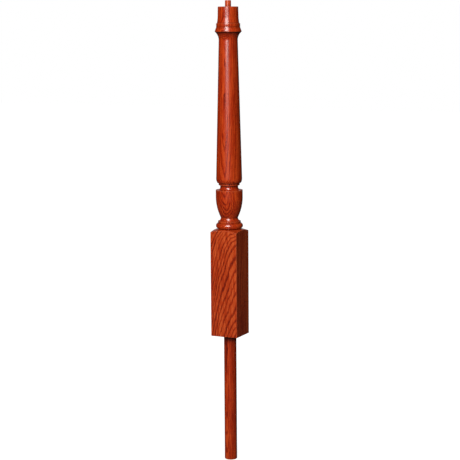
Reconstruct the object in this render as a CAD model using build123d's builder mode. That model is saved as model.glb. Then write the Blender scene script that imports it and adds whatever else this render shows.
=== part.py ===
from build123d import *
import os

os.makedirs("parts", exist_ok=True)

# Volute newel post: one length of square hardwood, turned above and below a
# square block. The post stands upright along Z, and z = 0 is the underside of
# the block, which sits on the starting step. All sizes are in millimetres.

# Square stock and the block left on it
block_side = 76.2
block_height = 279.5
arris_radius = 1.2
underside_chamfer = 0.8

# Long dowel under the block, let into the starting step and the floor frame
dowel_diameter = 33.4
dowel_length = 343.0
dowel_chamfer = 1.2

# Turned shoulder, from the block's corners in to the foot of the bead
shoulder_rise = 8.1
shoulder_crown = 0.5
shoulder_arris_radius = 0.8

# Round bead, with a fillet and a cove above it
bead_diameter = 71.8
bead_foot_diameter = 56.2
bead_height = 15.3
base_fillet_diameter = 60.2
base_fillet_height = 5.3
base_cove_foot_diameter = 55.0
base_cove_height = 8.7

# Urn
urn_foot_diameter = 45.4
urn_rim_diameter = 71.2
urn_curve_height = 54.4
urn_side_height = 19.3

# Neck over the urn, and the fillet under the shaft
neck_diameter = 47.4
neck_cove_foot_diameter = 57.4
neck_cove_height = 7.2
neck_height = 12.5
shaft_fillet_diameter = 55.6
shaft_fillet_height = 6.2

# Long tapered shaft, rounded in at its foot
shaft_foot_diameter = 62.4
shaft_diameter = 68.6
shaft_rounding_height = 11.5
shaft_taper_height = 361.5
shaft_top_diameter = 49.8

# Collar, from the cove under it up to its fillet
collar_cove_height = 22.1
collar_diameter = 70.0
collar_edge_height = 1.5
collar_flare_height = 11.1
collar_fillet_diameter = 62.6
collar_fillet_height = 9.2

# Drum over the collar, which carries the volute
drum_cove_foot_diameter = 58.6
drum_cove_height = 16.5
drum_foot_diameter = 54.6
drum_top_diameter = 53.4
drum_height = 26.3
drum_edge_chamfer = 0.8

# Pin that centres the volute
pin_diameter = 15.9
pin_length = 16.5
pin_chamfer = 1.5

# Heights of the members, each stacked on the one below
block_corner_radius = block_side / 2 * 2**0.5
dowel_foot = -dowel_length
bead_foot = block_height + shoulder_rise
bead_top = bead_foot + bead_height
base_fillet_top = bead_top + base_fillet_height
urn_foot = base_fillet_top + base_cove_height
urn_side_foot = urn_foot + urn_curve_height
urn_rim = urn_side_foot + urn_side_height
neck_cove_top = urn_rim + neck_cove_height
neck_top = urn_rim + neck_height
shaft_fillet_top = neck_top + shaft_fillet_height
shaft_widest = shaft_fillet_top + shaft_rounding_height
shaft_top = shaft_widest + shaft_taper_height
collar_edge_foot = shaft_top + collar_cove_height
collar_edge_top = collar_edge_foot + collar_edge_height
collar_flare_top = collar_edge_top + collar_flare_height
collar_fillet_top = collar_flare_top + collar_fillet_height
drum_foot = collar_fillet_top + drum_cove_height
drum_top = drum_foot + drum_height
pin_top = drum_top + pin_length

# The turned form as it leaves the lathe: half of its section, with the square
# block's stretch still as wide as the stock's corners, where the tool never cut
shaft_lean = ((shaft_top_diameter - shaft_diameter) / 2, shaft_taper_height)
drum_lean = ((drum_foot_diameter - drum_top_diameter) / 2, -drum_height)

with BuildPart() as newel_post:
    with BuildSketch(Plane.XZ) as section:
        with BuildLine() as outline:
            # dowel and block
            Polyline(
                (0, dowel_foot),
                (dowel_diameter / 2 - dowel_chamfer, dowel_foot),
                (dowel_diameter / 2, dowel_foot + dowel_chamfer),
                (dowel_diameter / 2, 0),
                (block_corner_radius, 0),
                (block_corner_radius, block_height),
            )
            # shoulder, a little crowned, and bead
            SagittaArc(
                (block_corner_radius, block_height),
                (bead_foot_diameter / 2, bead_foot),
                -shoulder_crown,
            )
            ThreePointArc(
                (bead_foot_diameter / 2, bead_foot),
                (bead_diameter / 2, (bead_foot + bead_top) / 2),
                (base_fillet_diameter / 2, bead_top),
            )
            Polyline(
                (base_fillet_diameter / 2, bead_top),
                (base_fillet_diameter / 2, base_fillet_top),
                (base_cove_foot_diameter / 2, base_fillet_top),
            )
            # cove, upright where it meets the urn
            TangentArc(
                (urn_foot_diameter / 2, urn_foot),
                (base_cove_foot_diameter / 2, base_fillet_top),
                tangent=(0, -1),
            )
            # urn, its curve running into the upright side under the rim
            TangentArc(
                (urn_rim_diameter / 2, urn_side_foot),
                (urn_foot_diameter / 2, urn_foot),
                tangent=(0, -1),
            )
            Polyline(
                (urn_rim_diameter / 2, urn_side_foot),
                (urn_rim_diameter / 2, urn_rim),
                (neck_cove_foot_diameter / 2, urn_rim),
            )
            # neck and the fillet under the shaft
            TangentArc(
                (neck_diameter / 2, neck_cove_top),
                (neck_cove_foot_diameter / 2, urn_rim),
                tangent=(0, -1),
            )
            Polyline(
                (neck_diameter / 2, neck_cove_top),
                (neck_diameter / 2, neck_top),
                (shaft_fillet_diameter / 2, neck_top),
                (shaft_fillet_diameter / 2, shaft_fillet_top),
                (shaft_foot_diameter / 2, shaft_fillet_top),
            )
            # shaft: rounded foot, straight taper, and the cove under the collar
            TangentArc(
                (shaft_diameter / 2, shaft_widest),
                (shaft_foot_diameter / 2, shaft_fillet_top),
                tangent=(-shaft_lean[0], -shaft_lean[1]),
            )
            Line((shaft_diameter / 2, shaft_widest), (shaft_top_diameter / 2, shaft_top))
            TangentArc(
                (shaft_top_diameter / 2, shaft_top),
                (collar_diameter / 2, collar_edge_foot),
                tangent=shaft_lean,
            )
            # collar and its fillet
            Polyline(
                (collar_diameter / 2, collar_edge_foot),
                (collar_diameter / 2, collar_edge_top),
                (collar_fillet_diameter / 2, collar_flare_top),
                (collar_fillet_diameter / 2, collar_fillet_top),
                (drum_cove_foot_diameter / 2, collar_fillet_top),
            )
            # drum with the cove at its foot
            TangentArc(
                (drum_foot_diameter / 2, drum_foot),
                (drum_cove_foot_diameter / 2, collar_fillet_top),
                tangent=drum_lean,
            )
            # drum, pin, and back down the axis
            Polyline(
                (drum_foot_diameter / 2, drum_foot),
                (drum_top_diameter / 2, drum_top - drum_edge_chamfer),
                (drum_top_diameter / 2 - drum_edge_chamfer, drum_top),
                (pin_diameter / 2, drum_top),
                (pin_diameter / 2, pin_top - pin_chamfer),
                (pin_diameter / 2 - pin_chamfer, pin_top),
                (0, pin_top),
                (0, dowel_foot),
            )
        make_face()
    revolve(axis=Axis.Z)

    # The stock's four flat faces, which only the block reaches
    with BuildSketch(Plane.XY.offset(dowel_foot)) as stock:
        Rectangle(block_side, block_side)
        fillet(stock.vertices(), radius=arris_radius)
    extrude(amount=pin_top - dowel_foot, mode=Mode.INTERSECT)

    # The curved arrises where the shoulder runs out on the faces, sanded round
    shoulder_arrises = newel_post.edges().filter_by_position(
        Axis.Z, block_height - arris_radius, bead_foot
    )
    fillet(
        shoulder_arrises.filter_by(GeomType.CIRCLE, reverse=True),
        radius=shoulder_arris_radius,
    )

    # The block's lower edge, eased all the way round
    underside = newel_post.faces().filter_by(Plane.XY).sort_by(SortBy.AREA)[-1]
    chamfer(underside.outer_wire().edges(), length=underside_chamfer)

newel_post.part.label = "newel_post"
export_step(newel_post.part, "parts/newel_post.step")
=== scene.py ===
import math
from types import SimpleNamespace

import bpy
import numpy as np
from mathutils import Matrix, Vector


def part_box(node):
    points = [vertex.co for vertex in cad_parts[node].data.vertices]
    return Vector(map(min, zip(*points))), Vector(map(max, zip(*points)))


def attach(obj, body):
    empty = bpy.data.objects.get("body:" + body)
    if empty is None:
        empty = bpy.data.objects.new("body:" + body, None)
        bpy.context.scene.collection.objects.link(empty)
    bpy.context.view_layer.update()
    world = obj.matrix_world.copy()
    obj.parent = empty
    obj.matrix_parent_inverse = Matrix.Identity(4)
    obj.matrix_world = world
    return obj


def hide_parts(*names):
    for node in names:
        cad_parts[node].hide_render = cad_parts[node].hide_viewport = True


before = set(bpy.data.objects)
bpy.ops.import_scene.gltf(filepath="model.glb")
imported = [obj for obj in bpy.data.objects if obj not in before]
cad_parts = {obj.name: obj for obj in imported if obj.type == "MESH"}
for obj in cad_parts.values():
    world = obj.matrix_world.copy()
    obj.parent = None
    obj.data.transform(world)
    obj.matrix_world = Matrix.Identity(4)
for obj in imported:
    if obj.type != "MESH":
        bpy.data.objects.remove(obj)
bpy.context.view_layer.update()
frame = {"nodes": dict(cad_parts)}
print("frame loaded, nodes:", ", ".join(frame["nodes"]))

mm = 0.001

# The post: z is 0 at the underside of the block; everything here is in millimetres and degrees
post = {
    "blockSide": 76.2, "blockHeight": 279.5, "arrisRadius": 1.2, "undersideChamfer": 0.8,
    "dowelDiameter": 33.4, "dowelLength": 343.0, "dowelChamfer": 1.2,
    "shoulderRise": 8.1, "shoulderCrown": 0.5, "shoulderEase": 0.6,
    "beadDiameter": 71.8, "beadFootDiameter": 56.2, "beadHeight": 15.3,
    "baseFilletDiameter": 60.2, "baseFilletHeight": 5.3,
    "baseCoveFootDiameter": 55.0, "baseCoveHeight": 8.7,
    "urnFootDiameter": 45.4, "urnRimDiameter": 71.2, "urnCurveHeight": 54.4, "urnSideHeight": 19.3,
    "neckDiameter": 47.4, "neckCoveFootDiameter": 57.4, "neckCoveHeight": 7.2, "neckHeight": 12.5,
    "shaftFilletDiameter": 55.6, "shaftFilletHeight": 6.2,
    "shaftFootDiameter": 62.4, "shaftDiameter": 68.6, "shaftRoundingHeight": 11.5,
    "shaftTaperHeight": 361.5, "shaftTopDiameter": 49.8,
    "collarCoveHeight": 22.1, "collarDiameter": 70.0, "collarEdgeHeight": 1.5,
    "collarFlareHeight": 11.1, "collarFilletDiameter": 62.6, "collarFilletHeight": 9.2,
    "drumCoveFootDiameter": 58.6, "drumCoveHeight": 16.5,
    "drumFootDiameter": 54.6, "drumTopDiameter": 53.4, "drumHeight": 26.3, "drumEdgeChamfer": 0.8,
    "pinDiameter": 15.9, "pinLength": 16.5, "pinChamfer": 1.5,

    "easing": 0.30,         # how far each turned corner is sanded back along both its sides
    "filletCrown": 0.35,    # how much the collar's fillet is sanded round
    "crownInset": 0.7,      # and how much of that its edges lose
    "cornerTurn": 20.0,     # the least turn between two members that makes a corner
    "fullTurn": 70.0,       # the turn at which a corner takes its full share of stain or rubbing
    "dowelRootTurn": -90.0, "beadFootTurn": -75.0,      # the inside corners at the block's two ends

    "quirkReach": 2.3,      # how far stain and painted shade gather out of an inside corner
    "ledgeQuirk": 0.35,     # and how much of that on a ledge that faces up, where less shade falls
    "overhangReach": 5.0, "overhangShade": 0.9,     # painted shade down from the collar's edge: how far it reaches, and how dark
    "underReach": 15.0, "underBlockShadow": 0.7,          # painted shadow of the block down the dowel: how far, and how dark
    "arrisReach": 0.9,      # how far a corner is rubbed through and painted lighter as a highlight
    "bareGap": 0.1,         # how far over the drum the pin's bare wood starts

    "rowStep": 8.0,         # longest row on a straight member
    "holdRow": 0.2,         # the row that holds each end of a member
    "arcStep": 6.0,         # degrees of curve for one row
    "undersideRows": 8, "sideRows": 36, "shoulderRows": 14,
    "faceColumns": 42,      # columns across a flat face of the block
    "arrisColumns": 5,      # columns round one of its four arrises
    "besideArris": 0.35,    # degrees from an arris to the column close beside it
    "sharpTurn": 28.0,      # faces that turn more than this shade apart
}


# Outline members: each is a run of points (r, z) from its start to its end
def straight(start, end):
    # the line between its two ends
    return np.array([start, end], float)


def tangentArc(start, end, heading, count=121):
    # leaves start along heading, on the one circle that also meets end:
    # point(a) = start + R (sin a heading + (1 - cos a) sideways), a from 0 to the full turn
    start, end = np.array(start, float), np.array(end, float)
    heading = np.array(heading, float) / math.hypot(*heading)
    chord = end - start
    sideways = np.array([-heading[1], heading[0]])
    if chord @ sideways < 0:
        sideways = -sideways
    radius = (chord @ chord) / (2 * (chord @ sideways))
    turn = 2 * math.atan2(chord @ sideways, chord @ heading)
    a = np.linspace(0, turn, count)[:, None]
    return start + radius * (np.sin(a) * heading + (1 - np.cos(a)) * sideways)


def arcInto(start, end, heading):
    # the arc that leaves end along heading, walked the other way, from start into end
    return tangentArc(end, start, heading)[::-1]


def arcThrough(start, end, middle, count=181):
    # the circle through three points, |p - c| = R: c solves 2 (q - p) . c = q.q - p.p for both pairs
    start, middle, end = np.array([start, middle, end], float)
    centre = np.linalg.solve(2 * np.array([middle - start, end - middle]),
                             [middle @ middle - start @ start, end @ end - middle @ middle])
    spokes = np.array([start, end]) - centre
    a = np.linspace(*np.arctan2(spokes[:, 1], spokes[:, 0]), count)[:, None]
    return centre + math.hypot(*spokes[0]) * np.concatenate([np.cos(a), np.sin(a)], axis=1)


def chain(start, steps):
    # makes the members in turn, each from where the last one ended
    members = []
    for make, end, *more in steps:
        members.append(make(start, end, *more))
        start = end
    return members


def memberLevels(p):
    # the height of each member's end, stacked on the one below
    level = SimpleNamespace(beadFoot=p["blockHeight"] + p["shoulderRise"])
    level.beadTop = level.beadFoot + p["beadHeight"]
    level.baseFilletTop = level.beadTop + p["baseFilletHeight"]
    level.urnFoot = level.baseFilletTop + p["baseCoveHeight"]
    level.urnSideFoot = level.urnFoot + p["urnCurveHeight"]
    level.urnRim = level.urnSideFoot + p["urnSideHeight"]
    level.neckCoveTop = level.urnRim + p["neckCoveHeight"]
    level.neckTop = level.urnRim + p["neckHeight"]
    level.shaftFilletTop = level.neckTop + p["shaftFilletHeight"]
    level.shaftWidest = level.shaftFilletTop + p["shaftRoundingHeight"]
    level.shaftTop = level.shaftWidest + p["shaftTaperHeight"]
    level.collarEdgeFoot = level.shaftTop + p["collarCoveHeight"]
    level.collarEdgeTop = level.collarEdgeFoot + p["collarEdgeHeight"]
    level.collarFlareTop = level.collarEdgeTop + p["collarFlareHeight"]
    level.collarFilletTop = level.collarFlareTop + p["collarFilletHeight"]
    level.drumFoot = level.collarFilletTop + p["drumCoveHeight"]
    level.drumTop = level.drumFoot + p["drumHeight"]
    level.pinTop = level.drumTop + p["pinLength"]
    return level


def lowerOutline(p, radius):
    # the dowel, from its foot up to the block's underside
    foot = -p["dowelLength"]
    return chain((0, foot), [
        (straight, (radius.dowel - p["dowelChamfer"], foot)),
        (straight, (radius.dowel, foot + p["dowelChamfer"])),
        (straight, (radius.dowel, 0)),
    ])


def upperOutline(p, radius, level):
    # from the bead's foot up to the pin's top
    down = (0, -1)
    shaftLean = (radius.shaftTop - radius.shaft, p["shaftTaperHeight"])
    drumLean = (radius.drumFoot - radius.drumTop, -p["drumHeight"])
    crownEdge = radius.collarFillet - p["crownInset"] * p["filletCrown"]
    crown = (crownEdge + p["filletCrown"], (level.collarFlareTop + level.collarFilletTop) / 2)
    beadMiddle = (radius.bead, (level.beadFoot + level.beadTop) / 2)
    return chain((radius.beadFoot, level.beadFoot), [
        # bead, fillet and cove
        (arcThrough, (radius.baseFillet, level.beadTop), beadMiddle),
        (straight, (radius.baseFillet, level.baseFilletTop)),
        (straight, (radius.baseCoveFoot, level.baseFilletTop)),
        (arcInto, (radius.urnFoot, level.urnFoot), down),
        # urn, its curve running into the upright side under the rim
        (arcInto, (radius.urnRim, level.urnSideFoot), down),
        (straight, (radius.urnRim, level.urnRim)),
        (straight, (radius.neckCoveFoot, level.urnRim)),
        # neck and the fillet under the shaft
        (arcInto, (radius.neck, level.neckCoveTop), down),
        (straight, (radius.neck, level.neckTop)),
        (straight, (radius.shaftFillet, level.neckTop)),
        (straight, (radius.shaftFillet, level.shaftFilletTop)),
        (straight, (radius.shaftFoot, level.shaftFilletTop)),
        # shaft: rounded foot, straight taper, and the cove under the collar
        (arcInto, (radius.shaft, level.shaftWidest), (-shaftLean[0], -shaftLean[1])),
        (straight, (radius.shaftTop, level.shaftTop)),
        (tangentArc, (radius.collar, level.collarEdgeFoot), shaftLean),
        # collar and its fillet
        (straight, (radius.collar, level.collarEdgeTop)),
        (straight, (crownEdge, level.collarFlareTop)),
        (arcThrough, (crownEdge, level.collarFilletTop), crown),
        (straight, (radius.drumCoveFoot, level.collarFilletTop)),
        # drum with the cove at its foot
        (arcInto, (radius.drumFoot, level.drumFoot), drumLean),
        (straight, (radius.drumTop, level.drumTop - p["drumEdgeChamfer"])),
        (straight, (radius.drumTop - p["drumEdgeChamfer"], level.drumTop)),
        # pin
        (straight, (radius.pin, level.drumTop)),
        (straight, (radius.pin, level.pinTop - p["pinChamfer"])),
        (straight, (radius.pin - p["pinChamfer"], level.pinTop)),
        (straight, (0, level.pinTop)),
    ])


# Rows and columns of the surface
def crowded(count):
    # 0 to 1 in steps that shorten towards both ends: (1 - cos(pi k / count)) / 2
    return (1 - np.cos(np.pi * np.arange(count + 1) / count)) / 2


def easedCorner(start, corner, end):
    # four rows on the parabola from start to end whose sides meet in the corner
    t = np.array([[0.2], [0.4], [0.6], [0.8]])
    return (1 - t) ** 2 * start + 2 * t * (1 - t) * corner + t**2 * end


def fading(distance, reach):
    # 1 at no distance, falling off as exp(-(distance / reach)^2)
    return np.exp(-((distance / reach) ** 2))


def memberRows(members, p):
    # carries rows along the members in turn, closer together towards each end of a member,
    # with one more row held close to each end, so that a straight member shades straight.
    # An outside corner becomes a short parabola between its sides.
    lengths, turns = [], []
    for member in members:
        step = np.hypot(*np.diff(member, axis=0).T)
        lengths.append(np.concatenate([[0], np.cumsum(step)]))
    for first, second in zip(members[:-1], members[1:]):
        a, b = first[-1] - first[-2], second[1] - second[0]
        turns.append(math.degrees(math.atan2(a[0] * b[1] - a[1] * b[0], a @ b)))
    turns = [0] + turns + [0]
    rows, corners = [], []
    for k, (member, s) in enumerate(zip(members, lengths)):
        cut = [p["easing"] if turns[k + i] > p["cornerTurn"] else 0.0 for i in (0, 1)]
        bend = np.degrees(np.abs(np.diff(np.unwrap(np.arctan2(*np.diff(member, axis=0).T))))).sum()
        spread = crowded(max(2, math.ceil(s[-1] / p["rowStep"]), math.ceil(bend / p["arcStep"])))
        free = s[-1] - cut[0] - cut[1]
        hold = min(p["holdRow"] / free, spread[1] / 2)
        spread = np.concatenate([[0, hold], spread[1:-1], [1 - hold, 1]])
        at = cut[0] + spread * free
        line = np.stack([np.interp(at, s, member[:, 0]), np.interp(at, s, member[:, 1])], axis=1)
        if rows and turns[k] > p["cornerTurn"]:
            rows.append(easedCorner(rows[-1][-1], member[0], line[0]))
        elif rows:
            line = line[1:]
        if k and abs(turns[k]) > p["cornerTurn"]:
            isLedge = turns[k] <= 0 and member[1][0] <= member[0][0] + 1e-6
            corners.append((*member[0], turns[k] * (p["ledgeQuirk"] if isLedge else 1)))
        rows.append(line)
    return np.concatenate(rows), np.array(corners)


def nearCorners(rows, corners, reach, fullTurn):
    # 1 at a corner, fading out from it, times its turn as a share of fullTurn,
    # which is below 0 where the inside corners are meant
    share = np.clip(corners[:, 2] / fullTurn, 0, 1)
    d = np.hypot(rows[:, None, 0] - corners[None, :, 0], rows[:, None, 1] - corners[None, :, 1])
    return (share * fading(d, reach)).max(axis=1)


def shoulderHeight(r, p):
    # the chord from the stock's corner in to the bead's foot, plus a crown 4 c t (1 - t)
    corner = p["blockSide"] / 2 * math.sqrt(2)
    foot = p["beadFootDiameter"] / 2
    t = (corner - r) / (corner - foot)
    return p["blockHeight"] + p["shoulderRise"] * t + 4 * p["shoulderCrown"] * t * (1 - t)


def fromFaceMiddle(angle):
    # the angle from the middle of the nearest of the four faces
    return (angle + math.pi / 4) % (math.pi / 2) - math.pi / 4


def squareReach(angle, half, rounding):
    # distance from the axis to a square with rounded corners, at each angle:
    # half / cos(a) on a face, and on a corner the far root of the line through its circle
    a = np.abs(fromFaceMiddle(angle))
    centre = half - rounding
    along = centre * (np.cos(a) + np.sin(a))
    root = np.sqrt(np.maximum(along**2 - 2 * centre**2 + rounding**2, 0))
    return np.where(np.tan(a) * half <= centre, half / np.cos(a), along + root)


def columnAngles(p):
    # even steps across each face, a close pair beside each arris, then round it
    half = p["blockSide"] / 2
    arrisStart = math.atan((half - p["arrisRadius"]) / half)
    beside = arrisStart - math.radians(p["besideArris"])
    face = np.linspace(-arrisStart, arrisStart, p["faceColumns"] + 1)
    arris = np.linspace(arrisStart, math.pi / 2 - arrisStart, p["arrisColumns"] + 1)[1:-1]
    quarter = np.sort(np.concatenate([face, [-beside, beside], arris]))
    return (quarter[None, :] + math.pi / 2 * np.arange(4)[:, None]).ravel()


def blockRows(p, v, radius, level):
    # the underside out to its chamfer, the faces, the eased arris over them, and the shoulder
    half, chamfer, ease = p["blockSide"] / 2, p["undersideChamfer"], p["shoulderEase"]
    outer = squareReach(v, half, p["arrisRadius"])[None, :]
    inner = squareReach(v, half - chamfer, p["arrisRadius"] - chamfer)[None, :]
    top = shoulderHeight(outer, p)
    onShoulder = outer - ease
    underR = radius.dowel + crowded(p["undersideRows"])[1:, None] * (inner - radius.dowel)
    sideZ = chamfer + crowded(p["sideRows"])[:, None] * (top - ease - chamfer)
    easeR = easedCorner(outer, outer, onShoulder)
    easeZ = easedCorner(top - ease, top, shoulderHeight(onShoulder, p))
    shoulderR = onShoulder + crowded(p["shoulderRows"])[:, None] * (radius.beadFoot - onShoulder)
    r = np.concatenate([underR, outer + 0 * sideZ, easeR, shoulderR])
    z = np.concatenate([0 * underR, sideZ, easeZ, shoulderHeight(shoulderR, p)])

    # stain and painted shade gather round the dowel's root and under the bead's foot
    quirkStainAndShade = np.maximum(
        fading(np.hypot(r - radius.dowel, z), p["quirkReach"]),
        fading(np.hypot(r - radius.beadFoot, z - level.beadFoot), p["quirkReach"]))
    # the four arrises, the shoulder's edge and the lower edge are rubbed, and painted lighter as a
    # highlight
    onFace = np.concatenate([0 * underR, 1 + 0 * sideZ, 1 + 0 * easeZ, 0 * shoulderR])
    crossing = np.abs(np.tan(fromFaceMiddle(v)))[None, :] * half
    arris = np.maximum.reduce([
        onFace * fading(half - crossing, p["arrisReach"]),
        fading(np.hypot(outer - r, z - top), p["arrisReach"]),
        fading(np.hypot(outer - r, z), p["arrisReach"]),
    ])
    return r, z, quirkStainAndShade, arris


def closedMesh(name, r, z, v, poles, layers):
    # quads between neighbouring rows and columns, and a fan to the pole at each end
    rows, columns = r.shape
    grid = np.arange(rows * columns).reshape(rows, columns)
    right = np.roll(grid, -1, axis=1)
    quads = np.stack([grid[:-1], right[:-1], right[1:], grid[1:]], axis=-1).reshape(-1, 4)
    footPole, topPole = rows * columns, rows * columns + 1
    footFan = np.stack([right[0], grid[0], np.full(columns, footPole)], axis=-1)
    topFan = np.stack([grid[-1], right[-1], np.full(columns, topPole)], axis=-1)
    points = np.stack([r * np.cos(v), r * np.sin(v), z], axis=-1).reshape(-1, 3)
    points = np.concatenate([points, [(0, 0, height) for height in poles]]) * mm

    mesh = bpy.data.meshes.new(name)
    mesh.from_pydata(points.tolist(), [], quads.tolist() + footFan.tolist() + topFan.tolist())
    for label, (values, atPoles) in layers.items():
        layer = mesh.attributes.new(label, "FLOAT", "POINT")
        layer.data.foreach_set("value", np.append(values.ravel(), atPoles).astype(np.float32))
    return mesh


def buildPost(p):
    # S(u, v) = (r cos v, r sin v, z): u runs up the outline, v round the axis.
    # On the turned members r and z hang on u alone. On the block r is the rounded square's,
    # and z is where the turned shoulder meets it, so the shoulder runs out in an arc on each face.
    radius = SimpleNamespace(**{name.removesuffix("Diameter"): size / 2
                                for name, size in p.items() if name.endswith("Diameter")})
    level = memberLevels(p)
    v = columnAngles(p)
    blockR, blockZ, blockStainAndShade, blockRubAndSheen = blockRows(p, v, radius, level)
    lowRows, lowCorners = memberRows(lowerOutline(p, radius), p)
    lowCorners = np.concatenate([lowCorners, [(radius.dowel, 0, p["dowelRootTurn"])]])
    highRows, highCorners = memberRows(upperOutline(p, radius, level), p)
    highCorners = np.concatenate([highCorners, [(radius.beadFoot, level.beadFoot, p["beadFootTurn"])]])
    lowRows, highRows = lowRows[1:], highRows[1:-1]      # the poles are single points

    # how the finish lies, with painted light: stain and painted shade in the quirks, painted shade under
    # the collar's edge and painted shadow under the block, rubbed thin and painted lighter as a highlight
    # on the arrises
    lowStainAndShade = nearCorners(lowRows, lowCorners, p["quirkReach"], -p["fullTurn"])
    highStainAndShade = nearCorners(highRows, highCorners, p["quirkReach"], -p["fullTurn"])
    lowRubAndSheen = nearCorners(lowRows, lowCorners, p["arrisReach"], p["fullTurn"])
    highRubAndSheen = nearCorners(highRows, highCorners, p["arrisReach"], p["fullTurn"])
    # painted shadow that the block casts down the dowel's root
    underBlock = p["underBlockShadow"] * np.exp(-((lowRows[:, 1] / p["underReach"]) ** 4))
    # painted shade down the cove under the collar's edge
    below = level.collarEdgeFoot - highRows[:, 1]
    shadeUnderCollar = np.where(below < 0, 0, p["overhangShade"] * fading(below, p["overhangReach"]))

    def joined(low, block, high):
        # a turned row is the same all the way round
        one = np.ones(v.size)
        return np.concatenate([low[:, None] * one, block, high[:, None] * one])

    r = joined(lowRows[:, 0], blockR, highRows[:, 0])
    z = joined(lowRows[:, 1], blockZ, highRows[:, 1])
    quirkStainAndShade = joined(np.maximum(lowStainAndShade, underBlock), blockStainAndShade, np.maximum(highStainAndShade, shadeUnderCollar))
    arris = joined(lowRubAndSheen, blockRubAndSheen, highRubAndSheen)
    # the pin goes unseen into the volute, so it took little stain
    bare = 1.0 * (z > level.drumTop + p["bareGap"])
    # end grain shows where the surface lies across the post: |dr| / |ds| up the outline
    slopeR, slopeZ = np.gradient(r, axis=0), np.gradient(z, axis=0)
    endGrain = np.abs(slopeR) / np.maximum(np.hypot(slopeR, slopeZ), 1e-9)

    layers = {"quirkStainAndShade": (quirkStainAndShade, (0, 0)), "arris": (arris, (0, 0)),
              "endGrain": (endGrain, (1, 1)), "bare": (bare, (0, 1))}
    mesh = closedMesh("newelPost", r, z, v, (-p["dowelLength"], level.pinTop), layers)
    mesh.shade_smooth()
    mesh.set_sharp_from_angle(angle=math.radians(p["sharpTurn"]))
    made = bpy.data.objects.new("newelPost", mesh)
    bpy.context.scene.collection.objects.link(made)
    rows, columns = r.shape
    print("post turned:", rows, "rows by", columns, "columns,", 2 * rows * columns, "triangles")
    return made


# Shader helpers: a value is either a number or another node's socket
def plug(tree, value, socket):
    if isinstance(value, bpy.types.NodeSocket):
        tree.links.new(value, socket)
    elif value is not None:
        socket.default_value = value


def calc(tree, operation, *values, clamp=False):
    made = tree.nodes.new("ShaderNodeMath")
    made.operation, made.use_clamp = operation, clamp
    for value, socket in zip(values, made.inputs):
        plug(tree, value, socket)
    return made.outputs[0]


def vectorCalc(tree, operation, first, second=None, output=0):
    made = tree.nodes.new("ShaderNodeVectorMath")
    made.operation = operation
    plug(tree, first, made.inputs[0])
    plug(tree, second, made.inputs[1])
    return made.outputs[output]


def separate(tree, vector):
    made = tree.nodes.new("ShaderNodeSeparateXYZ")
    plug(tree, vector, made.inputs[0])
    return made.outputs


def combine(tree, *values):
    made = tree.nodes.new("ShaderNodeCombineXYZ")
    for value, socket in zip(values, made.inputs):
        plug(tree, value, socket)
    return made.outputs[0]


def ramp(tree, value, low, high, start=0.0, end=1.0, kind="SMOOTHSTEP"):
    made = tree.nodes.new("ShaderNodeMapRange")
    made.interpolation_type = kind
    for number, socket in zip((value, low, high, start, end), made.inputs):
        plug(tree, number, socket)
    return made.outputs[0]


def swing(tree, value, share, base):
    # base + share (value - 0.5)
    return calc(tree, "MULTIPLY_ADD", calc(tree, "SUBTRACT", value, 0.5), share, base)


def hump(tree, value, middle, reach):
    # exp(-((value - middle) / reach)^2)
    away = calc(tree, "MULTIPLY", calc(tree, "SUBTRACT", value, middle), 1 / reach)
    return calc(tree, "EXPONENT", calc(tree, "MULTIPLY", calc(tree, "MULTIPLY", away, away), -1))


def noise(tree, vector, detail=2.0, rough=0.5):
    made = tree.nodes.new("ShaderNodeTexNoise")
    made.inputs["Scale"].default_value = 1.0
    made.inputs["Detail"].default_value = detail
    made.inputs["Roughness"].default_value = rough
    plug(tree, vector, made.inputs["Vector"])
    return made.outputs[0]


def blend(tree, share, first, second, kind="MIX"):
    made = tree.nodes.new("ShaderNodeMix")
    made.data_type, made.blend_type = "RGBA", kind
    plug(tree, share, made.inputs[0])
    plug(tree, first, made.inputs[6])
    plug(tree, second, made.inputs[7])
    return made.outputs[2]


def newGroup(name, inputs, outputs):
    tree = bpy.data.node_groups.new(name, "ShaderNodeTree")
    for label, kind, value in inputs:
        socket = tree.interface.new_socket(label, in_out="INPUT", socket_type="NodeSocket" + kind)
        if value is not None:
            socket.default_value = value
    for label, kind in outputs:
        tree.interface.new_socket(label, in_out="OUTPUT", socket_type="NodeSocket" + kind)
    return tree, tree.nodes.new("NodeGroupInput").outputs, tree.nodes.new("NodeGroupOutput").inputs


def useGroup(tree, group, **values):
    made = tree.nodes.new("ShaderNodeGroup")
    made.node_tree = group
    for name, value in values.items():
        plug(tree, value, made.inputs[name.replace("_", " ")])
    return made.outputs


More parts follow.
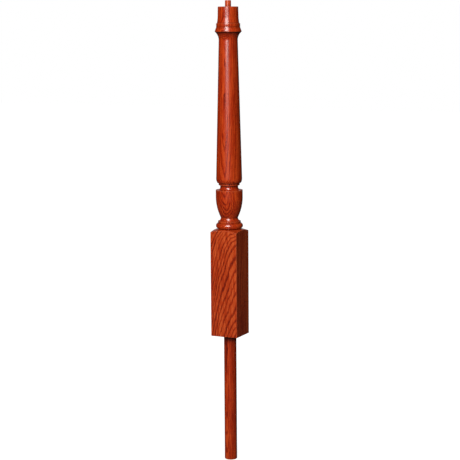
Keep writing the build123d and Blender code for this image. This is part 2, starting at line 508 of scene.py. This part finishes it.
# The wood: lengths are metres, and tones run from 0, pale, to 1, dark
wood = {
    # the tree's heart runs outside the post, behind it, and leans more low down than high up
    "heartX": 0.070, "heartDriftX": -0.02, "heartTopX": -0.022, "bendFrom": 0.265, "bendTo": 0.420,
    "heartFootY": 0.2888,
    "heartLowY": 0.290, "heartLowDriftY": 0.072, "heartLowSoftness": 0.001,
    "heartMiddleY": 0.298, "heartMiddleDriftY": 0.052, "heartMiddleSoftness": 0.01,
    "heartTopY": 0.3112, "heartTopDriftY": 0.0265, "heartTopSoftness": 0.004,
    "twist": 16, "twistHeight": 0.336, "twistReach": 0.026,         # in degrees
    "swell": 0.006, "swellHeight": 0.312, "swellReach": 0.035,
    "fibreLeanX": -0.02, "fibreLeanY": 0.05,

    "ringGap": 0.0020, "wander": 0.0009,
    "yearWaves": 160, "yearShare": 0.9,
    # how many waves a metre the rings have across and along the grain, and how strong they are
    "ringWaves": ((26, 8, 3.2), (110, 26, 1.2), (320, 95, 0.6)),
    "earlyWidth": 0.24, "earlyRandom": 0.22, "earlyHold": 0.3, "closingFrom": 0.84,     # parts of a ring

    # streaks: how wide and how long, and what they add to the tone
    "streaks": {"coarse": (0.0022, 0.075), "fine": (0.0007, 0.020), "broad": (0.0045, 0.11),
                "dash": (0.0014, 0.017), "mottle": (0.028, 0.12)},
    "streakTones": {"broad": 1.2, "coarse": 1.0, "fine": 0.8, "mottle": 0.55},
    "poreWidth": 0.00055, "poreLength": 0.009,
    "poreEarly": 0.13, "poreFrom": 0.63, "poreTo": 0.72,
    "lineTone": 0.13, "lineRandom": 0.32, "lineDash": 0.33, "dashFrom": 0.38, "dashTo": 0.62,
    "baseTone": 0.26, "middleTone": 0.42,
    "paleSide": 2.0, "footDarkSide": 9.0, "sideBlend": 0.004,       # tone for each metre towards +X

    "pale": (0.67, 0.099, 0.0195), "middle": (0.46, 0.036, 0.0030), "dark": (0.18, 0.0085, 0.0012),
    # the pores' fill, then one near-black for stain, painted shade and painted shadow in the quirks and
    # under the overhangs
    "poreDark": (0.085, 0.006, 0.002), "stainAndShadeDark": (0.035, 0.0025, 0.001),
    # rubbed-through and bare wood, also painted on the arrises as a highlight
    "rubbedAndSheen": (0.62, 0.13, 0.045),
    "turnedTint": (0.975, 0.73, 0.45),
    "turnedFrom": 0.283, "turnedTo": 0.288, "undersideBlend": 0.002,    # where the turned wood starts
    "poreShare": 0.7, "endGrainShare": 0.22, "rubAndSheenShare": 0.8, "bareShare": 0.35,
    "patchFrom": 0.35, "patchTo": 0.65,

    "roughness": 0.50, "mottleRoughness": 0.12, "poreRoughness": 0.12, "ior": 1.5, "specular": 0.0,
    "earlyRelief": -0.30, "poreRelief": -0.55, "coarseRelief": 0.45,
    "reliefStrength": 0.5, "reliefDepth": 0.00008,
    "coatWeight": 1.0, "topCoatWeight": 0.72, "topCoatFrom": 0.800, "topCoatTo": 0.806,
    "coatRoughness": 0.24, "coatIor": 1.8,
}


def heartLine(tree, w, z):
    # where the heart runs at height z, bent softly from one straight line to the next
    lowX = calc(tree, "MULTIPLY_ADD", z, w["heartDriftX"], w["heartX"])
    bend = ramp(tree, z, w["bendFrom"], w["bendTo"], kind="SMOOTHERSTEP")
    heartX = calc(tree, "MULTIPLY_ADD", bend, calc(tree, "SUBTRACT", w["heartTopX"], lowX), lowX)
    heartY = w["heartFootY"]
    for part, pick in (("Low", "SMOOTH_MAX"), ("Middle", "SMOOTH_MIN"), ("Top", "SMOOTH_MIN")):
        line = calc(tree, "MULTIPLY_ADD", z, w["heart" + part + "DriftY"], w["heart" + part + "Y"])
        heartY = calc(tree, pick, heartY, line, w["heart" + part + "Softness"])
    # near the urn it swells back
    swollen = hump(tree, z, w["swellHeight"], w["swellReach"])
    return heartX, calc(tree, "MULTIPLY_ADD", swollen, w["swell"], heartY)


def makeGrowthRings(w):
    tree, given, out = newGroup(
        "growthRings",
        [("Position", "Vector", None),
         ("Ring Gap", "Float", w["ringGap"]),
         ("Wander", "Float", w["wander"])],
        [("Early Wood", "Float"), ("Ring Random", "Float"), ("Grain Position", "Vector")])
    # near the urn the grain twists round the axis a little
    turn = hump(tree, separate(tree, given["Position"])[2], w["twistHeight"], w["twistReach"])
    twisted = tree.nodes.new("ShaderNodeVectorRotate")
    twisted.rotation_type = "Z_AXIS"
    plug(tree, given["Position"], twisted.inputs["Vector"])
    plug(tree, calc(tree, "MULTIPLY", turn, -math.radians(w["twist"])), twisted.inputs["Angle"])
    x, y, z = separate(tree, twisted.outputs[0])
    heartX, heartY = heartLine(tree, w, z)
    away = combine(tree, calc(tree, "SUBTRACT", x, heartX), calc(tree, "SUBTRACT", y, heartY))
    reach = vectorCalc(tree, "LENGTH", away, output=1)
    # the fibres lean with the heart, so that pores run out on the faces
    grain = combine(tree, calc(tree, "MULTIPLY_ADD", z, -w["fibreLeanX"], x),
                    calc(tree, "MULTIPLY_ADD", z, -w["fibreLeanY"], y), z)
    # the rings wander a little, in long waves and in short ones
    shift = 0.0
    for across, along, share in w["ringWaves"]:
        wave = noise(tree, vectorCalc(tree, "MULTIPLY", grain, (across, across, along)))
        shift = swing(tree, wave, share, shift)
    reach = calc(tree, "MULTIPLY_ADD", shift, given["Wander"], reach)
    # good years and poor ones
    years = tree.nodes.new("ShaderNodeTexNoise")
    years.noise_dimensions = "1D"
    years.inputs["Scale"].default_value = w["yearWaves"]
    years.inputs["Detail"].default_value = 0
    plug(tree, reach, years.inputs["W"])
    count = swing(tree, years.outputs[0], w["yearShare"], calc(tree, "DIVIDE", reach, given["Ring Gap"]))
    # early wood opens each ring, and the last of the late wood darkens towards the next
    part = calc(tree, "FRACT", count)
    chance = tree.nodes.new("ShaderNodeTexWhiteNoise")
    chance.noise_dimensions = "1D"
    plug(tree, calc(tree, "FLOOR", count), chance.inputs["W"])
    width = calc(tree, "MULTIPLY_ADD", chance.outputs[0], w["earlyRandom"], w["earlyWidth"])
    early = ramp(tree, part, calc(tree, "MULTIPLY", width, w["earlyHold"]), width, 1.0, 0.0)
    closing = ramp(tree, part, w["closingFrom"], 1.0)
    plug(tree, calc(tree, "MAXIMUM", early, closing), out["Early Wood"])
    plug(tree, chance.outputs[0], out["Ring Random"])
    plug(tree, grain, out["Grain Position"])
    return tree


def makeFibres():
    tree, given, out = newGroup(
        "fibres",
        [("Grain Position", "Vector", None), ("Across", "Float", 0.001), ("Along", "Float", 0.03)],
        [("Streak", "Float")])
    size = combine(tree, given["Across"], given["Across"], given["Along"])
    streak = noise(tree, vectorCalc(tree, "DIVIDE", given["Grain Position"], size), rough=0.55)
    plug(tree, streak, out["Streak"])
    return tree


def makePores(w, fibres):
    tree, given, out = newGroup(
        "openPores",
        [("Grain Position", "Vector", None), ("Early Wood", "Float", 0.0)],
        [("Pore", "Float")])
    streak = useGroup(tree, fibres, Grain_Position=given["Grain Position"],
                      Across=w["poreWidth"], Along=w["poreLength"])[0]
    filled = calc(tree, "MULTIPLY_ADD", given["Early Wood"], w["poreEarly"], streak)
    plug(tree, ramp(tree, filled, w["poreFrom"], w["poreTo"]), out["Pore"])
    return tree


def makeWood(w):
    rings, fibres = makeGrowthRings(w), makeFibres()
    pores = makePores(w, fibres)
    material = bpy.data.materials.new("stainedWood")
    material.use_nodes = True
    tree = material.node_tree
    tree.nodes.clear()
    place = tree.nodes.new("ShaderNodeTexCoord").outputs["Object"]
    x, y, z = separate(tree, place)
    ring = useGroup(tree, rings, Position=place)
    grain, earlyWood = ring["Grain Position"], ring["Early Wood"]
    streaks = {name: useGroup(tree, fibres, Grain_Position=grain, Across=across, Along=along)[0]
               for name, (across, along) in w["streaks"].items()}
    pore = useGroup(tree, pores, Grain_Position=grain, Early_Wood=earlyWood)[0]

    def layer(name, share=1.0):
        made = tree.nodes.new("ShaderNodeAttribute")
        made.attribute_name = name
        return calc(tree, "MULTIPLY", made.outputs["Fac"], share)

    def coloured(share, below, name, kind="MIX"):
        return blend(tree, share, below, (*w[name], 1), kind)

    # each ring opens with a dark line, broken into dashes along the grain
    strength = calc(tree, "MULTIPLY_ADD", ring["Ring Random"], w["lineRandom"], w["lineTone"])
    dashes = ramp(tree, streaks["dash"], w["dashFrom"], w["dashTo"])
    strength = calc(tree, "MULTIPLY_ADD", dashes, w["lineDash"], strength)
    tone = calc(tree, "MULTIPLY", earlyWood, strength)
    for name, share in w["streakTones"].items():
        tone = swing(tree, streaks[name], share, tone)
    # towards +X the post grows a little paler, and its dowel darker
    side = ramp(tree, z, -w["sideBlend"], w["sideBlend"], w["footDarkSide"], -w["paleSide"])
    tone = calc(tree, "MULTIPLY_ADD", x, side, tone)
    tone = calc(tree, "ADD", tone, w["baseTone"], clamp=True)
    stain = tree.nodes.new("ShaderNodeValToRGB")
    stain.color_ramp.interpolation = "EASE"
    stain.color_ramp.elements[0].color = (*w["pale"], 1)
    stain.color_ramp.elements[1].color = (*w["dark"], 1)
    stain.color_ramp.elements.new(w["middleTone"]).color = (*w["middle"], 1)
    plug(tree, tone, stain.inputs[0])

    colour = coloured(calc(tree, "MULTIPLY", pore, w["poreShare"]), stain.outputs[0], "poreDark")
    # turned wood drinks more of the stain than the planed faces
    aboveBlock = ramp(tree, z, w["turnedFrom"], w["turnedTo"])
    underBlock = ramp(tree, z, -w["undersideBlend"], 0, 1.0, 0.0)
    colour = coloured(calc(tree, "ADD", aboveBlock, underBlock), colour, "turnedTint", "MULTIPLY")
    # the stain darkens end grain; the arrises are rubbed through in patches and painted lighter as a
    # highlight; stain, painted shade and painted shadow gather in the quirks and under the overhangs
    colour = coloured(layer("endGrain", w["endGrainShare"]), colour, "dark")
    patches = ramp(tree, streaks["coarse"], w["patchFrom"], w["patchTo"])
    # arrises: rubbed through in patches, and lighter as a painted highlight
    colour = coloured(calc(tree, "MULTIPLY", layer("arris", patches), w["rubAndSheenShare"]), colour, "rubbedAndSheen")
    colour = coloured(layer("bare", w["bareShare"]), colour, "rubbedAndSheen")
    # stain, painted shade and painted shadow in the quirks and under the overhangs
    colour = coloured(layer("quirkStainAndShade"), colour, "stainAndShadeDark")

    roughness = swing(tree, streaks["mottle"], w["mottleRoughness"], w["roughness"])
    roughness = calc(tree, "MULTIPLY_ADD", pore, w["poreRoughness"], roughness)
    relief = calc(tree, "MULTIPLY", earlyWood, w["earlyRelief"])
    relief = calc(tree, "MULTIPLY_ADD", pore, w["poreRelief"], relief)
    relief = calc(tree, "MULTIPLY_ADD", streaks["coarse"], w["coarseRelief"], relief)
    bump = tree.nodes.new("ShaderNodeBump")
    bump.inputs["Strength"].default_value = w["reliefStrength"]
    bump.inputs["Distance"].default_value = w["reliefDepth"]
    plug(tree, relief, bump.inputs["Height"])
    # the lacquer lies thinner on the collar and the drum
    lacquer = ramp(tree, z, w["topCoatFrom"], w["topCoatTo"], w["coatWeight"], w["topCoatWeight"])

    shader = tree.nodes.new("ShaderNodeBsdfPrincipled")
    plug(tree, colour, shader.inputs["Base Color"])
    plug(tree, roughness, shader.inputs["Roughness"])
    plug(tree, bump.outputs[0], shader.inputs["Normal"])
    plug(tree, lacquer, shader.inputs["Coat Weight"])
    shader.inputs["IOR"].default_value = w["ior"]
    shader.inputs["Specular IOR Level"].default_value = w["specular"]
    shader.inputs["Coat Roughness"].default_value = w["coatRoughness"]
    shader.inputs["Coat IOR"].default_value = w["coatIor"]
    tree.links.new(shader.outputs[0], tree.nodes.new("ShaderNodeOutputMaterial").inputs[0])
    print("wood finish made")
    return material


newelPost = buildPost(post)
newelPost.data.materials.append(makeWood(wood))
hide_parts("newel_post")
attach(newelPost, "root")


# Camera: metres and degrees; azimuths run round the post from -Y, growing towards +X
shot = {
    "azimuth": 25.826, "distance": 3.7408, "height": 0.8189, "aside": 0.00137,
    "pitch": 8.156, "roll": -0.379, "lens": 111.39, "sensor": 36, "farthest": 200,
}


def placeCamera(s):
    turn = math.radians(s["azimuth"])
    data = bpy.data.cameras.new("camera")
    data.lens, data.sensor_width, data.sensor_fit = s["lens"], s["sensor"], "HORIZONTAL"
    data.dof.use_dof = False
    data.clip_end = s["farthest"]
    made = bpy.data.objects.new("camera", data)
    bpy.context.scene.collection.objects.link(made)
    standing = (s["aside"] * math.cos(turn) + s["distance"] * math.sin(turn),
                s["aside"] * math.sin(turn) - s["distance"] * math.cos(turn), s["height"])
    made.matrix_world = (Matrix.Translation(standing) @ Matrix.Rotation(turn, 4, "Z")
                         @ Matrix.Rotation(math.radians(90 - s["pitch"]), 4, "X")
                         @ Matrix.Rotation(math.radians(s["roll"]), 4, "Z"))
    bpy.context.scene.camera = made
    print("camera placed")


placeCamera(shot)

# Light: metres, degrees and watts
studio = {
    "keyAzimuth": 10.8, "keyDistance": 4.5, "keyHeight": 4.05,
    "keyWidth": 2.3, "keyTall": 5.75, "keyPower": 445,
    "backAzimuth": 215.8, "backDistance": 2.4, "backHeight": 1.4, "backAim": 0.3,
    "backWidth": 0.6, "backTall": 1.8, "backPower": 20,
    "ambient": 0.08,            # what the world gives to the object
    "shine": 0.01,              # what shine sees of the surroundings
    "backdropShine": 0.35,      # and right behind the post
    "backdropAzimuth": 205.8, "backdropInner": 14, "backdropOuter": 30,
    "floorSize": 30.0,
    "floorTone": 0.12,          # what the floor gives to the object
    "floorShine": 0.03,         # what shine sees of it
    "floorShadow": 0.06,        # how much of its white it gives up near the post
    "floorLit": 0.24,           # and what the lamps leave there instead
    "shadowInner": 0.3, "shadowOuter": 1.2,
}


def placeLamp(s, name, aimHeight, mirrored):
    turn, distance, height, wide, tall, power = (
        s[name + word] for word in ("Azimuth", "Distance", "Height", "Width", "Tall", "Power"))
    data = bpy.data.lights.new(name + "Lamp", "AREA")
    data.shape, data.size, data.size_y, data.energy = "RECTANGLE", wide, tall, power
    made = bpy.data.objects.new(name + "Lamp", data)
    bpy.context.scene.collection.objects.link(made)
    turn = math.radians(turn)
    tilt = math.atan2(height - aimHeight, distance)
    made.matrix_world = (Matrix.Translation((distance * math.sin(turn), -distance * math.cos(turn), height))
                         @ Matrix.Rotation(turn, 4, "Z") @ Matrix.Rotation(math.radians(90) - tilt, 4, "X"))
    made.visible_camera = False
    made.visible_glossy = mirrored


def rayKinds(tree):
    # whether the camera sees it, straight or through something clear, and whether a shine does
    path = tree.nodes.new("ShaderNodeLightPath").outputs
    seen = calc(tree, "MAXIMUM", path["Is Camera Ray"], path["Is Transmission Ray"])
    return seen, path["Is Glossy Ray"]


def makeWorld(s):
    # white to the camera, and dim to the rest
    world = bpy.data.worlds.new("studioWorld")
    bpy.context.scene.world = world
    world.use_nodes = True
    tree = world.node_tree
    tree.nodes.clear()
    seen, glossy = rayKinds(tree)
    turn = math.radians(s["backdropAzimuth"])
    direction = tree.nodes.new("ShaderNodeTexCoord").outputs["Generated"]
    facing = vectorCalc(tree, "DOT_PRODUCT", direction, (math.sin(turn), -math.cos(turn), 0), output=1)
    mirrored = ramp(tree, facing, math.cos(math.radians(s["backdropOuter"])),
                    math.cos(math.radians(s["backdropInner"])), s["shine"], s["backdropShine"])
    brighter = calc(tree, "SUBTRACT", mirrored, s["ambient"])
    strength = calc(tree, "MULTIPLY_ADD", glossy, brighter, s["ambient"])
    strength = calc(tree, "MULTIPLY_ADD", seen, calc(tree, "SUBTRACT", 1.0, strength), strength)
    back = tree.nodes.new("ShaderNodeBackground")
    back.inputs[0].default_value = (1, 1, 1, 1)
    plug(tree, strength, back.inputs[1])
    tree.links.new(back.outputs[0], tree.nodes.new("ShaderNodeOutputWorld").inputs[0])


def makePaper(s):
    # white to the camera, and dim to the rest
    paper = bpy.data.materials.new("paleFloor")
    paper.use_nodes = True
    tree = paper.node_tree
    tree.nodes.clear()
    seen, glossy = rayKinds(tree)
    # near the post the sheet gives up a little of its white to what the lamps leave there
    place = tree.nodes.new("ShaderNodeTexCoord").outputs["Object"]
    away = vectorCalc(tree, "LENGTH", vectorCalc(tree, "MULTIPLY", place, (1, 1, 0)), output=1)
    white = tree.nodes.new("ShaderNodeEmission")
    plug(tree, ramp(tree, away, s["shadowInner"], s["shadowOuter"], 1 - s["floorShadow"]), white.inputs[1])
    lit = tree.nodes.new("ShaderNodeBsdfDiffuse")
    lit.inputs[0].default_value = (s["floorLit"], s["floorLit"], s["floorLit"], 1)
    toCamera = tree.nodes.new("ShaderNodeAddShader")
    tree.links.new(lit.outputs[0], toCamera.inputs[0])
    tree.links.new(white.outputs[0], toCamera.inputs[1])
    toRest = tree.nodes.new("ShaderNodeBsdfDiffuse")
    dimming = s["floorShine"] - s["floorTone"]
    plug(tree, calc(tree, "MULTIPLY_ADD", glossy, dimming, s["floorTone"]), toRest.inputs[0])
    mix = tree.nodes.new("ShaderNodeMixShader")
    plug(tree, seen, mix.inputs[0])
    tree.links.new(toRest.outputs[0], mix.inputs[1])
    tree.links.new(toCamera.outputs[0], mix.inputs[2])
    tree.links.new(mix.outputs[0], tree.nodes.new("ShaderNodeOutputMaterial").inputs[0])
    return paper


def layFloor(s):
    # a sheet of grid points x = size a, y = size b, under the dowel's foot
    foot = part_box("newel_post")[0].z
    a = np.linspace(-0.5, 0.5, 3) * s["floorSize"]
    x, y = np.meshgrid(a, a)
    points = np.stack([x.ravel(), y.ravel(), np.full(x.size, foot)], axis=-1)
    k = np.arange(x.size).reshape(x.shape)
    quads = np.stack([k[:-1, :-1], k[:-1, 1:], k[1:, 1:], k[1:, :-1]], axis=-1).reshape(-1, 4)
    mesh = bpy.data.meshes.new("floor")
    mesh.from_pydata(points.tolist(), [], quads.tolist())
    mesh.materials.append(makePaper(s))
    floor = bpy.data.objects.new("floor", mesh)
    bpy.context.scene.collection.objects.link(floor)


# only the key lamp, which stands level, is mirrored in the lacquer
placeLamp(studio, "key", studio["keyHeight"], True)
placeLamp(studio, "back", studio["backAim"], False)
makeWorld(studio)
layFloor(studio)
print("lamps, world and floor placed")
bpy.context.scene.view_settings.view_transform = "Standard"
